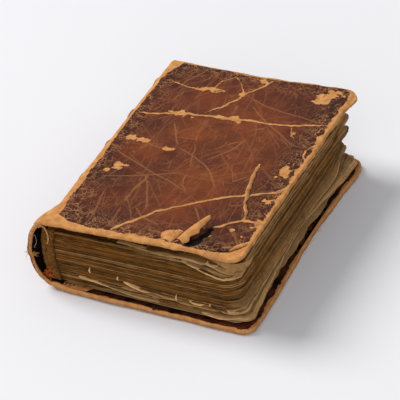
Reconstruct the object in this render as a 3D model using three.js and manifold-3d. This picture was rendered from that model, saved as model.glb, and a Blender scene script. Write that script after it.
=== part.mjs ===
// A small worn prayer book in leather, closed and lying on its back cover.
// Millimetres, +Z up: +X runs from the spine to the fore-edge, +Y from the tail to the head.
// The origin is on the table, under the middle of the book's footprint.
import * as THREE from "three";
import { mergeVertices } from "three/addons/utils/BufferGeometryUtils.js";
import Module from "manifold-3d";

const wasm = await Module();
wasm.setup();

// Covers
const COVER_HEIGHT = 148;
const COVER_WIDTH = 95.6;
const COVER_CORNER = 7;
const SPINE_TOTAL = 36.2; // table to the top of the front cover, at its spine edge
const FRONT_SHIFT = -5.3; // the book leans, so the front cover sits nearer the spine
const FRONT_RISE = 0.5; // and a little nearer the head
const FRONT_TILT = THREE.MathUtils.degToRad(3.05); // the fore-edge stands open a little
const BACK_EDGE = 3; // where the back cover's own leather begins, after the joint

// The layers of a cover, counted from its outer face
const SKIN = 0.75;
const BOARD_FROM = 0.9;
const BOARD_TO = 2.15;
const TURN_IN_FROM = 2.3;
const COVER_THICKNESS = 3;
const PASTEDOWN_FROM = 3.05;
const PASTEDOWN_TO = 3.3;
const FLYLEAF_FROM = 3.45;
const FLYLEAF_TO = 3.75;
const BLOCK_FROM = 3.95;
const TURN_IN_WIDTH = 15;
const BOARD_INSET = 1.2;
const PASTEDOWN_INSET = 6;

// Text block
const SECTIONS = 16;
const LEAF_WIDTH = 91.5;
const LEAF_CORNER = 6;
const SQUARE = 3.5; // how far the covers stand out past the leaves at head and tail
const FOLD_AT_BACK = 0.3;
const FOLD_LEAN = 3.5;
const FOLD_BULGE = 2.3;
const FOLD_ROUND = 0.7;
const SECTION_PLAY = 0.06; // part of a section's thickness left free on each face

// Spine
const SPINE_PROFILE = [
  [2.2, 0.6],
  [-2.1, 1.9],
  [-6.9, 4.9],
  [-10.6, 10.6],
  [-12.6, 17.9],
  [-12.5, 24],
  [-11.3, 29.6],
  [-8.9, 34],
  [-6.2, 36],
];
const SPINE_SKIN = 1.1;
const INLAY_GAP = 0.15;
const INLAY_THICKNESS = 0.7;
const INLAY_REACH = 0.22; // the inlay runs over this part of the profile on each side of its middle
const SPLIT_GAP = 0.0035; // part of the profile left free on each side of the middle opening
const LINING = { near: 1.9, far: 2.9 };
const CORD = { near: 0.25, far: 1.65 };
const CORD_WIDTH = 2.2;
const ENDBAND = { near: -1.6, far: 1.2 };
const ENDBAND_DEPTH = 1.5;
const ENDBAND_GAP = 0.3;
const LEVEL_GAP = 0.004; // part of the block's thickness left free on each side of its middle
const SHOULDER = 0.04; // part of the block's thickness that the strips stop short of its faces

// Raised bands across the spine
const BAND_PLACES = [16, 45, 74, 103, 132];
const BAND_ROWS = [
  [-3.2, 0],
  [-2, 0.85],
  [-0.8, 1.2],
  [0.8, 1.2],
  [2, 0.85],
  [3.2, 0],
];

const FINISH = {
  leather: { color: 0x6b3a26, roughness: 0.55 },
  spineLeather: { color: 0x7a4a2c, roughness: 0.65 },
  board: { color: 0x8c7350, roughness: 0.9 },
  paper: { color: 0xa98557, roughness: 0.85 },
  endpaper: { color: 0x8f6f48, roughness: 0.85 },
  lining: { color: 0x6d5432, roughness: 0.95 },
  cord: { color: 0xb48d5c, roughness: 0.95 },
  endband: { color: 0xa3522c, roughness: 0.9 },
};

function named(name, geometry, finish) {
  const material = new THREE.MeshStandardMaterial({ ...FINISH[finish], metalness: 0 });
  const mesh = new THREE.Mesh(geometry, material);
  mesh.name = name;
  return mesh;
}

// Booleans

function solidOf(geometry) {
  geometry.deleteAttribute("normal");
  geometry.deleteAttribute("uv");
  const merged = mergeVertices(geometry);
  return new wasm.Manifold(
    new wasm.Mesh({
      numProp: 3,
      vertProperties: merged.attributes.position.array,
      triVerts: new Uint32Array(merged.index.array),
    }),
  );
}

function geometryOf(solid) {
  const mesh = solid.getMesh();
  const geometry = new THREE.BufferGeometry();
  geometry.setAttribute("position", new THREE.BufferAttribute(mesh.vertProperties, 3));
  geometry.setIndex(new THREE.BufferAttribute(mesh.triVerts, 1));
  geometry.computeVertexNormals();
  return geometry;
}

// Outlines and plates

// A page-shaped outline: square at the spine and rounded at the two fore-edge corners.
function pageOutline(x0, x1, y0, y1, radius) {
  const outline = new THREE.Shape();
  outline.moveTo(x0, y0);
  outline.lineTo(x1 - radius, y0);
  outline.absarc(x1 - radius, y0 + radius, radius, -Math.PI / 2, 0, false);
  outline.lineTo(x1, y1 - radius);
  outline.absarc(x1 - radius, y1 - radius, radius, 0, Math.PI / 2, false);
  outline.lineTo(x0, y1);
  outline.closePath();
  return outline;
}

function plate(outline, z0, z1) {
  const geometry = new THREE.ExtrudeGeometry(outline, {
    depth: z1 - z0,
    bevelEnabled: false,
    curveSegments: 5,
  });
  geometry.translate(0, 0, z0);
  return geometry;
}

function insetPlate(x0, inset, z0, z1) {
  const radius = Math.max(COVER_CORNER - inset, 2);
  const outline = pageOutline(x0, COVER_WIDTH - inset, inset, COVER_HEIGHT - inset, radius);
  return plate(outline, z0, z1);
}

// Moves every point of a geometry to where place(x, y, z) says.
function reshape(geometry, place) {
  const points = geometry.attributes.position;
  for (let i = 0; i < points.count; i += 1) {
    points.setXYZ(i, ...place(points.getX(i), points.getY(i), points.getZ(i)));
  }
  geometry.computeVertexNormals();
  return geometry;
}

// Covers: the layers lie one on another from the outer face, z = 0, inwards.

// The leather wraps the board: an outer skin, three edges, and turn-ins round an open middle.
function coverLeather(spineEdge) {
  const past = 1;
  const whole = solidOf(insetPlate(spineEdge, 0, 0, COVER_THICKNESS));
  const pocket = solidOf(insetPlate(spineEdge - past, SKIN, SKIN, TURN_IN_FROM));
  const open = solidOf(
    insetPlate(spineEdge - past, TURN_IN_WIDTH, TURN_IN_FROM - past / 2, COVER_THICKNESS + past),
  );
  return geometryOf(whole.subtract(pocket).subtract(open));
}

function coverLayers(side, spineEdge, flyleafEdge) {
  const board = insetPlate(spineEdge + BOARD_INSET, BOARD_INSET, BOARD_FROM, BOARD_TO);
  const pasted = insetPlate(spineEdge + 2, PASTEDOWN_INSET, PASTEDOWN_FROM, PASTEDOWN_TO);
  const y1 = COVER_HEIGHT - SQUARE;
  const flyleaf = pageOutline(spineEdge + 1, flyleafEdge, SQUARE, y1, LEAF_CORNER);
  const layers = new THREE.Group();
  layers.add(
    named(`${side}_cover_leather`, coverLeather(spineEdge), "leather"),
    named(`${side}_board`, board, "board"),
    named(`${side}_pastedown`, pasted, "endpaper"),
    named(`${side}_flyleaf`, plate(flyleaf, FLYLEAF_FROM, FLYLEAF_TO), "endpaper"),
  );
  return layers;
}

function backCover() {
  return coverLayers("back", BACK_EDGE, FOLD_AT_BACK + LEAF_WIDTH - 0.8);
}

// The front cover is the same stack turned over, tilted and shifted towards the spine.
function frontCover() {
  const turned = coverLayers("front", 0, LEAF_WIDTH + 1.5);
  turned.rotation.x = Math.PI;
  turned.position.y = COVER_HEIGHT;
  const tilted = new THREE.Group();
  tilted.add(turned);
  tilted.rotation.y = -FRONT_TILT;
  tilted.position.set(FRONT_SHIFT, FRONT_RISE, SPINE_TOTAL);
  return tilted;
}

// Text block: a level of 0 is its lowest sheet and 1 its highest.

function sheetHeight(x, level) {
  const coverTop = SPINE_TOTAL + (x - FRONT_SHIFT) * Math.tan(FRONT_TILT);
  const blockTop = coverTop - BLOCK_FROM / Math.cos(FRONT_TILT);
  return BLOCK_FROM + level * (blockTop - BLOCK_FROM);
}

function foldPlace(level) {
  const rounding = FOLD_BULGE * (1 - (2 * level - 1) ** 2);
  return FOLD_AT_BACK - FOLD_LEAN * level - rounding;
}

function section(number) {
  const low = (number - 1 + SECTION_PLAY) / SECTIONS;
  const high = (number - SECTION_PLAY) / SECTIONS;
  const outline = pageOutline(0, LEAF_WIDTH, SQUARE, COVER_HEIGHT - SQUARE, LEAF_CORNER);
  const block = new THREE.ExtrudeGeometry(outline, {
    depth: 1,
    steps: 4,
    bevelEnabled: false,
    curveSegments: 3,
  });
  const placed = reshape(block, (x, y, w) => {
    const level = low + (high - low) * w;
    const fromMiddle = Math.min(Math.abs(2 * w - 1), 1);
    const folded = x === 0 ? FOLD_ROUND * (1 - Math.sqrt(1 - fromMiddle ** 2)) : 0;
    const out = foldPlace(level) + x + folded;
    return [out, y, sheetHeight(out, level)];
  });
  const label = String(number).padStart(2, "0");
  return named(`section_${label}`, placed, "paper");
}

// Spine: profiles in the X-Z plane, drawn along the book.

function drawnAlong(profile, y0, y1, steps) {
  const geometry = new THREE.ExtrudeGeometry(profile, {
    depth: y1 - y0,
    steps,
    bevelEnabled: false,
  });
  geometry.rotateX(Math.PI / 2);
  geometry.translate(0, y1, 0);
  return geometry;
}

const HALVES = [
  { half: "lower", from: SHOULDER, to: 0.5 - LEVEL_GAP },
  { half: "upper", from: 0.5 + LEVEL_GAP, to: 1 - SHOULDER },
];

// A strip that lies over the folds, between two distances from them.
function foldStrip({ near, far }, from, to) {
  const steps = 6;
  const outer = [];
  const inner = [];
  for (let i = 0; i <= steps; i += 1) {
    const level = from + ((to - from) * i) / steps;
    const fold = foldPlace(level);
    outer.push(new THREE.Vector2(fold - far, sheetHeight(fold - far, level)));
    inner.push(new THREE.Vector2(fold - near, sheetHeight(fold - near, level)));
  }
  return new THREE.Shape([...outer, ...inner.reverse()]);
}

function foldStrips(name, distances, y0, y1, finish) {
  return HALVES.map(({ half, from, to }) => {
    const profile = foldStrip(distances, from, to);
    return named(`${name}_${half}`, drawnAlong(profile, y0, y1, 1), finish);
  });
}

function sewingCords() {
  return BAND_PLACES.flatMap((place, i) => {
    const y0 = place - CORD_WIDTH / 2;
    return foldStrips(`sewing_cord_${i + 1}`, CORD, y0, y0 + CORD_WIDTH, "cord");
  });
}

function endbands() {
  const tail = SQUARE - ENDBAND_GAP - ENDBAND_DEPTH;
  const head = COVER_HEIGHT - SQUARE + ENDBAND_GAP;
  return [
    ...foldStrips("tail_band", ENDBAND, tail, tail + ENDBAND_DEPTH, "endband"),
    ...foldStrips("head_band", ENDBAND, head, head + ENDBAND_DEPTH, "endband"),
  ];
}

// A skin that follows the spine's outer profile, between two depths under its surface.
const spineCurve = new THREE.SplineCurve(SPINE_PROFILE.map(([x, z]) => new THREE.Vector2(x, z)));

function spineSkin(from, to, outerDepth, innerDepth) {
  const steps = 8;
  const outer = [];
  const inner = [];
  for (let i = 0; i <= steps; i += 1) {
    const u = from + ((to - from) * i) / steps;
    const point = spineCurve.getPoint(u);
    const along = spineCurve.getTangent(u);
    const inwards = new THREE.Vector2(along.y, -along.x);
    outer.push(point.clone().addScaledVector(inwards, outerDepth));
    inner.push(point.clone().addScaledVector(inwards, innerDepth));
  }
  return new THREE.Shape([...outer, ...inner.reverse()]);
}

// The rows of points along the spine, each with how far the leather stands out there.
function bandRows() {
  const rows = BAND_PLACES.flatMap((place) =>
    BAND_ROWS.map(([offset, rise]) => ({ y: place + offset, rise })),
  );
  return [{ y: 0, rise: 0 }, ...rows, { y: COVER_HEIGHT, rise: 0 }];
}

function raiseBands(geometry) {
  const rows = bandRows();
  const fade = 5;
  return reshape(geometry, (x, y, z) => {
    const row = rows[Math.round((y / COVER_HEIGHT) * (rows.length - 1))];
    const fromEnds = Math.min(z - SPINE_PROFILE[1][1], SPINE_TOTAL - 1 - z) / fade;
    const share = THREE.MathUtils.clamp(fromEnds, 0, 1);
    return [x - row.rise * share, row.y, z];
  });
}

function spineLeather(half, from, to) {
  const profile = spineSkin(from, to, 0, SPINE_SKIN);
  const geometry = drawnAlong(profile, 0, COVER_HEIGHT, bandRows().length - 1);
  return named(`spine_leather_${half}`, raiseBands(geometry), "spineLeather");
}

function spineInlay(half, from, to) {
  const outerDepth = SPINE_SKIN + INLAY_GAP;
  const profile = spineSkin(from, to, outerDepth, outerDepth + INLAY_THICKNESS);
  const geometry = drawnAlong(profile, SQUARE, COVER_HEIGHT - SQUARE, 1);
  return named(`spine_inlay_${half}`, geometry, "board");
}

function spine() {
  const low = 0.5 - SPLIT_GAP;
  const high = 0.5 + SPLIT_GAP;
  return [
    spineLeather("lower", 0, low),
    spineLeather("upper", high, 1),
    spineInlay("lower", 0.5 - INLAY_REACH, low),
    spineInlay("upper", high, 0.5 + INLAY_REACH),
    ...foldStrips("spine_lining", LINING, SQUARE, COVER_HEIGHT - SQUARE, "lining"),
  ];
}

// The whole book

const book = new THREE.Group();
book.add(backCover(), frontCover(), ...spine(), ...sewingCords(), ...endbands());
for (let number = 1; number <= SECTIONS; number += 1) {
  book.add(section(number));
}

const prayerBook = new THREE.Group();
prayerBook.add(book);
const box = new THREE.Box3().setFromObject(prayerBook, true);
const middle = box.getCenter(new THREE.Vector3());
book.position.set(-middle.x, -middle.y, -box.min.z);

export default prayerBook;
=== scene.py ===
import math

import bmesh
import bpy
import numpy as np
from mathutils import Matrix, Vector


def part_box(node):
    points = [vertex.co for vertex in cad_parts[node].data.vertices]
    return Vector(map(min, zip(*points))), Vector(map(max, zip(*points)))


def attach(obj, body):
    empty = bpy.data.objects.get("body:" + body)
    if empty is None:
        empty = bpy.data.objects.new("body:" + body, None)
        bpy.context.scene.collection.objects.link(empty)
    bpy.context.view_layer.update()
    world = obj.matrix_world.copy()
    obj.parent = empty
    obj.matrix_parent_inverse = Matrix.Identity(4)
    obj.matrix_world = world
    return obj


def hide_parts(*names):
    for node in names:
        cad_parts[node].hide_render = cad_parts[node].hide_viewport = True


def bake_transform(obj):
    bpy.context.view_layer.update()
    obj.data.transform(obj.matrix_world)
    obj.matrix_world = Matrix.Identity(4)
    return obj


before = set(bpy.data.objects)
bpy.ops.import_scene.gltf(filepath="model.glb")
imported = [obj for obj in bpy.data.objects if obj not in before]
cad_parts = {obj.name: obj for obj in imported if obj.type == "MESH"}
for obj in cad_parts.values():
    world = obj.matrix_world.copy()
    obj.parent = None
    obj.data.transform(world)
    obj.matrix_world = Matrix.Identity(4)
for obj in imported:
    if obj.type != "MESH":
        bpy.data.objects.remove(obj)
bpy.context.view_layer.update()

# Sizes in millimetres, as in the CAD model: x from the spine, y from the tail, z from the table.
MM = 0.001
COVER_WIDTH = 95.6
COVER_HEIGHT = 148.0
COVER_CORNER = 7.0
COVER_THICKNESS = 3.0
SPINE_TOTAL = 36.2
FRONT_SHIFT = -5.3
FRONT_RISE = 0.5
FRONT_TILT = math.radians(3.05)
BLOCK_FROM = 3.95
LEAF_WIDTH = 91.5
SQUARE = 3.5
SECTIONS = 16
LEAVES = 9  # shown in each section
BAND_PLACES = (16, 45, 74, 103, 132)
SPINE_PROFILE = (
    (2.2, 0.6), (-2.1, 1.9), (-6.9, 4.9), (-10.6, 10.6), (-12.6, 17.9),
    (-12.5, 24.0), (-11.3, 29.6), (-8.9, 34.0), (-6.2, 36.0),
)
back_low, back_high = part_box("back_cover_leather")
ORIGIN = np.array([back_high.x - COVER_WIDTH * MM, back_low.y, back_low.z])


# ---------------------------------------------------------------- numbers: noise and curves

def lattice(ix, iy, iz, seed):
    h = (ix * 374761393 + iy * 668265263 + iz * 1440662683 + seed * 1274126177) & 0xFFFFFFFF
    h = ((h ^ (h >> 13)) * 1274126177) & 0xFFFFFFFF
    return ((h ^ (h >> 16)) & 0xFFFF) / 32767.5 - 1.0


def noise(x, y, z, seed):
    """Smooth noise from -1 to 1, with a lattice of size 1."""
    x, y, z = np.broadcast_arrays(np.asarray(x, float), np.asarray(y, float), np.asarray(z, float))
    base = [np.floor(v).astype(np.int64) for v in (x, y, z)]
    f = [v - b for v, b in zip((x, y, z), base)]
    f = [v * v * (3 - 2 * v) for v in f]
    total = 0.0
    for dx in (0, 1):
        for dy in (0, 1):
            for dz in (0, 1):
                weight = 1.0
                for d, v in zip((dx, dy, dz), f):
                    weight = weight * (v if d else 1 - v)
                total = total + weight * lattice(base[0] + dx, base[1] + dy, base[2] + dz, seed)
    return total


def fbm(x, y, z, cell, seed, octaves=3):
    """Layered noise whose largest features are about `cell` across."""
    total = 0.0
    size = 1.0
    for octave in range(octaves):
        scale = 2 ** octave / cell
        at = (np.asarray(v) * scale for v in (x, y, z))
        total = total + size * noise(*at, seed + octave)
        size *= 0.5
    return total


def smooth(t):
    t = np.clip(t, 0, 1)
    return t * t * (3 - 2 * t)


def line_distance(x, y, points):
    """Signed distance from (x, y) to a polyline (positive on its left) and the share along it."""
    points = np.array(points, float)
    best = np.full(np.shape(x), 1e9)
    sign = np.ones(np.shape(x))
    share = np.zeros(np.shape(x))
    count = len(points) - 1
    for i in range(count):
        a, b = points[i], points[i + 1]
        d = b - a
        t = np.clip(((x - a[0]) * d[0] + (y - a[1]) * d[1]) / (d @ d), 0, 1)
        px, py = x - a[0] - t * d[0], y - a[1] - t * d[1]
        r = np.hypot(px, py)
        near = r < best
        best = np.where(near, r, best)
        sign = np.where(near, np.where(d[0] * py - d[1] * px >= 0, 1, -1), sign)
        share = np.where(near, (i + t) / count, share)
    return best * sign, share


def spline(points, u):
    """The Catmull-Rom curve through points, at u from 0 to 1."""
    p = np.array(points, float)
    s = np.clip(u, 0, 1) * (len(p) - 1)
    i = np.minimum(s.astype(int), len(p) - 2)
    t = (s - i)[..., None]
    at = [p[np.clip(i + k, 0, len(p) - 1)] for k in (-1, 0, 1, 2)]
    v0, v1 = (at[2] - at[0]) / 2, (at[3] - at[1]) / 2
    return (
        (2 * at[1] - 2 * at[2] + v0 + v1) * t ** 3
        + (-3 * at[1] + 3 * at[2] - 2 * v0 - v1) * t ** 2 + v0 * t + at[1]
    )


# ---------------------------------------------------------------- meshes

def mesh_piece(name, points, faces, material, fields=None):
    """A piece from points in book millimetres. fields are per-point numbers the material reads."""
    mesh = bpy.data.meshes.new(name)
    mesh.from_pydata((np.asarray(points) * MM + ORIGIN).tolist(), [], [list(map(int, f)) for f in faces])
    for key, values in (fields or {}).items():
        layer = mesh.attributes.new(key, "FLOAT", "POINT")
        layer.data.foreach_set("value", np.asarray(values, np.float32))
    mesh.materials.append(material)
    mesh.polygons.foreach_set("use_smooth", [True] * len(mesh.polygons))
    mesh.validate()
    piece = bpy.data.objects.new(name, mesh)
    bpy.context.scene.collection.objects.link(piece)
    return piece


def loose_piece(name, points, faces, material, slot, body, fields=None):
    """A piece that has no CAD node of its own and rides on a body."""
    piece = mesh_piece(name, points, faces, material, fields)
    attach(piece, body)


def grid_faces(rows, columns, first=0, turned=False):
    i, j = np.meshgrid(np.arange(rows - 1), np.arange(columns - 1), indexing="ij")
    a = first + i * columns + j
    quads = np.stack([a, a + columns, a + columns + 1, a + 1], -1).reshape(-1, 4)
    return quads[:, ::-1] if turned else quads


def rim(rows, columns):
    """The indices round the edge of a grid, in order."""
    top = [(0, j) for j in range(columns)]
    right = [(i, columns - 1) for i in range(1, rows)]
    bottom = [(rows - 1, j) for j in range(columns - 2, -1, -1)]
    left = [(i, 0) for i in range(rows - 2, 0, -1)]
    return np.array([i * columns + j for i, j in top + right + bottom + left])


def ring_faces(a, b, turned=False):
    """Quads between two closed loops of indices."""
    quads = np.stack([a, np.roll(a, -1), np.roll(b, -1), b], -1)
    return quads[:, ::-1] if turned else quads


def slab(rows, columns, upper, lower):
    """Points and faces of a closed sheet between two grids of points."""
    edge = rim(rows, columns)
    count = rows * columns
    faces = np.vstack([
        grid_faces(rows, columns),
        grid_faces(rows, columns, first=count, turned=True),
        ring_faces(edge, edge + count),
    ])
    return np.vstack([upper.reshape(-1, 3), lower.reshape(-1, 3)]), faces


def outward(points, faces):
    """The faces, turned round if the closed mesh is inside out."""
    quads = np.asarray(faces)
    a, b, c, d = (np.asarray(points)[quads[:, k]] for k in range(4))
    volume = (a * np.cross(b, c)).sum() + (a * np.cross(c, d)).sum()
    return quads if volume > 0 else quads[:, ::-1]


def tube(path, radius, sides, taper):
    """A thin thread along a path, in millimetres, closed at both ends and thinner towards its end."""
    count = len(path)
    along = np.gradient(path, axis=0)
    along /= np.linalg.norm(along, axis=1)[:, None] + 1e-9
    side = np.cross(along, np.array([0.3, 0.5, 0.81]))
    side /= np.linalg.norm(side, axis=1)[:, None] + 1e-9
    up = np.cross(along, side)
    r = radius * np.linspace(1, taper, count)[:, None]
    turns = np.linspace(0, 2 * math.pi, sides, endpoint=False)
    rings = [path + r * (math.cos(a) * side + math.sin(a) * up) for a in turns]
    loops = np.arange(count * sides).reshape(count, sides)
    faces = [face for a, b in zip(loops, loops[1:]) for face in ring_faces(a, b)]
    return np.stack(rings, 1).reshape(-1, 3), faces + [loops[0][::-1], loops[-1]]


def joined(parts):
    """Several (points, faces) as one."""
    points, faces, base = [], [], 0
    for p, f in parts:
        points.append(p)
        faces += [np.asarray(face) + base for face in f]
        base += len(p)
    return np.vstack(points), faces


def round_corner(x, y, corner, radius, right, up):
    """A sheet's points with one corner rounded. right and up are 1 or -1: where the corner lies."""
    cx = corner[0] - right * radius
    cy = corner[1] - up * radius
    a = right * (x - cx) / radius
    b = up * (y - cy) / radius
    inside = (a > 0) & (b > 0)
    x = np.where(inside, cx + right * radius * (a * np.sqrt(np.clip(1 - b * b / 2, 0, 1))), x)
    y = np.where(inside, cy + up * radius * (b * np.sqrt(np.clip(1 - a * a / 2, 0, 1))), y)
    return x, y


# ---------------------------------------------------------------- material helpers

class Nodes:
    """A short way to build a material from nodes."""

    def __init__(self, name):
        self.material = bpy.data.materials.new(name)
        self.material.use_nodes = True
        self.tree = self.material.node_tree
        self.shader = self.tree.nodes["Principled BSDF"]
        self.place = self.add("TexCoord").outputs["Object"]

    def link(self, value, socket):
        if isinstance(value, bpy.types.NodeSocket):
            self.tree.links.new(value, socket)
        elif socket.type == "RGBA":
            socket.default_value = (*value, 1)
        else:
            socket.default_value = value

    def add(self, kind, inputs=None, **settings):
        """A new node, with its settings and what goes into its inputs."""
        node = self.tree.nodes.new("ShaderNode" + kind)
        for key, value in settings.items():
            setattr(node, key, value)
        for key, value in (inputs or {}).items():
            self.link(value, node.inputs[key])
        return node

    def math(self, operation, a, b, clamp=False):
        return self.add("Math", {0: a, 1: b}, operation=operation, use_clamp=clamp).outputs[0]

    def times(self, product, *factors):
        for factor in factors:
            product = self.math("MULTIPLY", product, factor)
        return product

    def stirred(self, value, *noises):
        """The value, pushed up and down by noises given as (noise, strength)."""
        for noise, strength in noises:
            value = self.math("ADD", value, self.times(self.math("SUBTRACT", noise, 0.5), strength))
        return value

    def field(self, name):
        return self.add("Attribute", attribute_name=name).outputs["Fac"]

    def stretched(self, scale):
        return self.add("Mapping", {"Vector": self.place, "Scale": scale}).outputs[0]

    def wandering(self, scale, place, turn=0.0):
        """Coordinates that wander by a millimetre, turned by `turn` degrees, moved by `place` decimetres."""
        wave = self.add("TexNoise", {"Vector": self.place, "Scale": 1 / (9 * MM), "Detail": 2})
        reach = (2.6 * MM, 2.6 * MM, 0)
        inputs = {0: wave.outputs["Color"], 1: reach, 2: self.place}
        moved = self.add("VectorMath", inputs, operation="MULTIPLY_ADD")
        return self.add("Mapping", {
            "Vector": moved.outputs[0],
            "Scale": scale,
            "Location": (0.1 * place, 0.07 * place, 0),
            "Rotation": (0, 0, math.radians(turn)),
        }).outputs[0]

    def noise(self, cell, detail=4.0, rough=0.55, vector=None):
        """Noise from 0 to 1 whose features are `cell` millimetres across."""
        return self.add("TexNoise", {
            "Vector": vector or self.place,
            "Scale": 1 / (cell * MM),
            "Detail": detail,
            "Roughness": rough,
        }).outputs["Fac"]

    def cells(self, cell, vector=None):
        """Distance to the edges of irregular cells `cell` millimetres across."""
        inputs = {"Vector": vector or self.place, "Scale": 1 / (cell * MM)}
        return self.add("TexVoronoi", inputs, feature="DISTANCE_TO_EDGE").outputs["Distance"]

    def ramp(self, value, low, high, to_low=0.0, to_high=1.0):
        """A smooth step from to_low to to_high as the value goes from low to high."""
        inputs = {"Value": value, "From Min": low, "From Max": high, "To Min": to_low, "To Max": to_high}
        return self.add("MapRange", inputs, interpolation_type="SMOOTHSTEP").outputs["Result"]

    def mix(self, share, a, b):
        """Colour a, with `share` of colour b in it."""
        return self.add("Mix", {0: share, 6: a, 7: b}, data_type="RGBA").outputs[2]

    def bump(self, height, strength, depth, before=None):
        inputs = {"Height": height, "Strength": strength, "Distance": depth * MM}
        if before is not None:
            inputs["Normal"] = before
        return self.add("Bump", inputs).outputs[0]

    def finish(self, colour, rough, normal, specular):
        self.link(colour, self.shader.inputs["Base Color"])
        self.link(rough, self.shader.inputs["Roughness"])
        self.link(specular, self.shader.inputs["Specular IOR Level"])
        if normal is not None:
            self.link(normal, self.shader.inputs["Normal"])
        return self.material


def srgb(r, g, b):
    """An sRGB colour, 0 to 255, in linear light."""
    return tuple((v / 255 / 12.92) if v < 10 else ((v / 255 + 0.055) / 1.055) ** 2.4 for v in (r, g, b))


TAN = srgb(196, 140, 84)
TAN_DEEP = srgb(150, 98, 54)
LEATHER_MID = srgb(92, 40, 20)
LEATHER_GLOW = srgb(138, 69, 28)
LEATHER_DARK = srgb(58, 25, 18)
LEATHER_EDGE = srgb(44, 20, 14)
PAGE = srgb(128, 77, 16)
PAGE_DARK = srgb(56, 31, 8)
PAGE_PALE = srgb(224, 180, 124)


def leather_ground(n, fine):
    """The leather's browns: warmest by `glow`, darkest by `crackle`."""
    base = n.mix(n.ramp(n.noise(30, 3), 0.36, 0.64), LEATHER_DARK, LEATHER_MID)
    base = n.mix(n.times(n.field("glow"), n.ramp(fine, 0.2, 0.8, 0.65, 1.0)), base, LEATHER_GLOW)
    base = n.mix(n.times(n.ramp(n.noise(7, 5), 0.42, 0.7), 0.45), base, LEATHER_DARK)
    return n.mix(n.times(n.field("crackle"), n.ramp(fine, 0.3, 0.7, 0.35, 0.9)), base, LEATHER_EDGE)


def leather_crackle(n):
    """A fine net, strong near the worn edges and faint in the middle."""
    small = n.ramp(n.cells(1.9), 0.0, 0.09, 1.0, 0.0)
    wide = n.ramp(n.cells(4.6), 0.0, 0.035, 1.0, 0.0)
    return n.times(n.math("MAXIMUM", small, wide), n.field("crackle"), n.ramp(n.noise(4, 3), 0.4, 0.56))


# Webs of fine scratches: (cell in mm, how long the cells are drawn, turn in degrees, strength, place)
SCRATCH_WEBS = (
    (16, 0.16, 34, 0.42, 1), (18, 0.14, -50, 0.42, 2), (13, 0.2, 78, 0.34, 3),
    (24, 0.3, 8, 0.42, 4), (9, 0.2, -30, 0.26, 5),
)


def leather_scratches(n, grit):
    """Long thin scratches: those of the `scratch` field, and the fine webs."""
    scratches = n.times(n.field("scratch"), n.ramp(grit, 0.2, 0.55, 0.5, 1.0))
    for cell, long, turn, strength, place in SCRATCH_WEBS:
        lines = n.ramp(n.cells(cell, n.wandering((1, long, 1), place, turn)), 0.0, 0.15 / cell, 1.0, 0.0)
        broken = n.ramp(n.noise(9, 3, vector=n.wandering((1, 1, 1), place + 9)), 0.42, 0.58)
        scratches = n.math("MAXIMUM", n.times(lines, broken, strength), scratches)
    return scratches


def suede(n, grit):
    """The fibrous tan surface under the leather's skin."""
    colour = n.mix(n.ramp(n.noise(3.4, 5), 0.3, 0.7, 0.35, 1.0), TAN_DEEP, TAN)
    colour = n.mix(n.ramp(n.noise(9, 4), 0.45, 0.75, 0.0, 0.5), colour, srgb(182, 118, 66))
    return n.mix(n.ramp(grit, 0.55, 0.8, 0.0, 0.25), colour, srgb(146, 92, 48))


def leather_material():
    """Reddish brown calf, tan where `wear` is over 0, and painted near black by `groove_shade` as shade in its cracks,
    slits and hollow.
    """
    n = Nodes("cover_leather")
    fine = n.noise(3.0, 5, 0.6)
    grit = n.noise(0.8, 4, 0.65)
    groove_shade = n.field("groove_shade")
    marks = n.math("MAXIMUM", n.times(leather_scratches(n, grit), 0.62), n.times(leather_crackle(n), 0.66))
    base = n.mix(marks, leather_ground(n, fine), srgb(192, 134, 82))
    torn = n.stirred(n.field("wear"), (fine, 1.4), (grit, 1.0))
    bare = n.ramp(torn, -0.08, 0.14)
    edge_dark = n.times(n.ramp(torn, -0.5, -0.02), n.math("SUBTRACT", 1.0, bare), 0.35)
    colour = n.mix(bare, n.mix(edge_dark, base, LEATHER_EDGE), suede(n, grit))
    # Painted shade: near black in the cracks, slits and hollow.
    colour = n.mix(groove_shade, colour, srgb(16, 7, 4))
    rough = n.math("ADD", n.ramp(bare, 0, 1, 0.44, 0.92), n.times(groove_shade, 0.4), clamp=True)
    height = n.math("ADD", n.times(bare, n.math("SUBTRACT", grit, 0.85)), n.times(marks, -0.5))
    grain = n.bump(n.cells(0.75), 0.3, 0.1)
    return n.finish(colour, rough, n.bump(height, 0.8, 0.3, grain), 0.1)


def turn_in_material():
    """The dark inner leather of the covers, rubbed at its rim."""
    n = Nodes("turn_in_leather")
    grit = n.noise(1.1, 4, 0.65)
    base = n.mix(n.ramp(n.noise(6, 4), 0.35, 0.7), srgb(12, 5, 3), srgb(84, 36, 20))
    bare = n.ramp(n.stirred(n.field("wear"), (n.noise(3, 5), 1.2)), -0.05, 0.15)
    colour = n.mix(bare, base, n.mix(grit, TAN_DEEP, srgb(176, 120, 70)))
    return n.finish(colour, n.ramp(bare, 0, 1, 0.6, 0.9), n.bump(grit, 0.6, 0.3), 0.08)


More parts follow.
